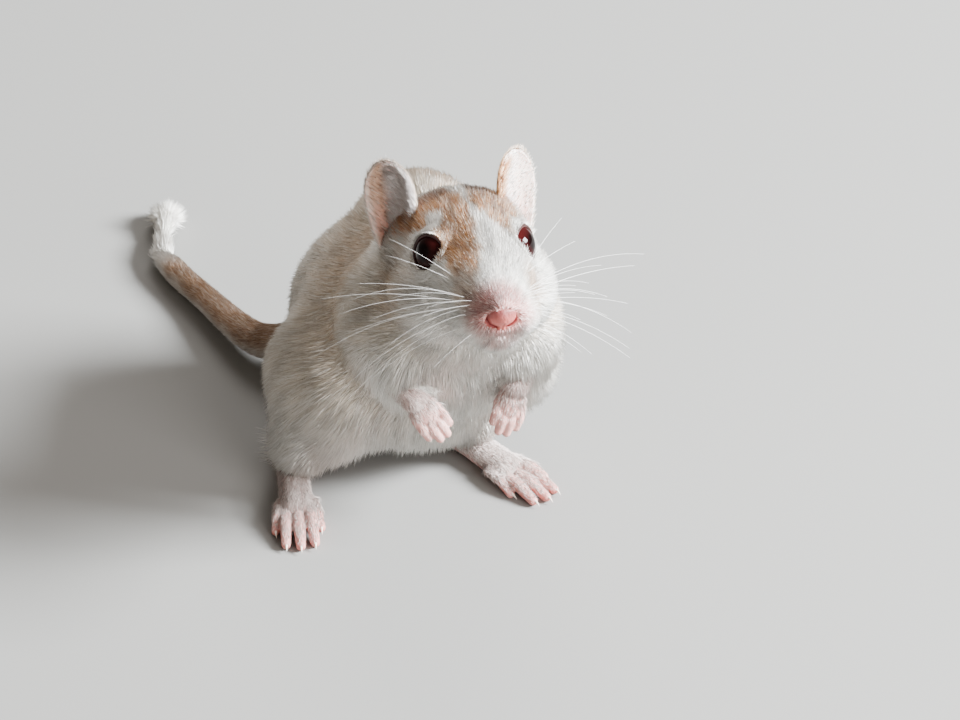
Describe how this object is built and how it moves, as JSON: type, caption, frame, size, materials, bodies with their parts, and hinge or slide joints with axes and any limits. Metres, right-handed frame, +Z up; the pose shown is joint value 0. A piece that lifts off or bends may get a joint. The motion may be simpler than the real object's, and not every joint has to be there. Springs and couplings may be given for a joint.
{
  "type": "gerbil",
  "caption": "Life-size still model of a crouching gerbil with raised forepaws, upright ears, long hind feet and a tufted tail.",
  "frame": {"origin": "middle of the footprint of the whole animal, on the floor", "axes": "+Z up, the animal faces -Y, its left side is +X"},
  "size_m": [0.0468, 0.1104, 0.0544],
  "materials": {
    "coat": "short soft white and pale ginger fur",
    "tail_tuft": "longer soft white hair in tapered locks",
    "ear_skin": "thin pink skin with fine short hair",
    "paw_skin": "pink skin with fine white hair",
    "eye": "wet gloss, dark ruby brown"
  },
  "bodies": {
    "root": {"ear_left": "ear_skin", "ear_right": "ear_skin", "eye_left": "eye", "eye_right": "eye", "foreleg_left": "coat", "foreleg_right": "coat", "forepaw_left": "paw_skin", "forepaw_right": "paw_skin", "head": "coat", "hind_foot_left": "paw_skin", "hind_foot_right": "paw_skin", "neck": "coat", "tail_middle": "coat", "tail_root": "coat", "tail_tip": "tail_tuft", "thigh_left": "coat", "thigh_right": "coat", "torso": "coat"}
  },
  "joints": []
}
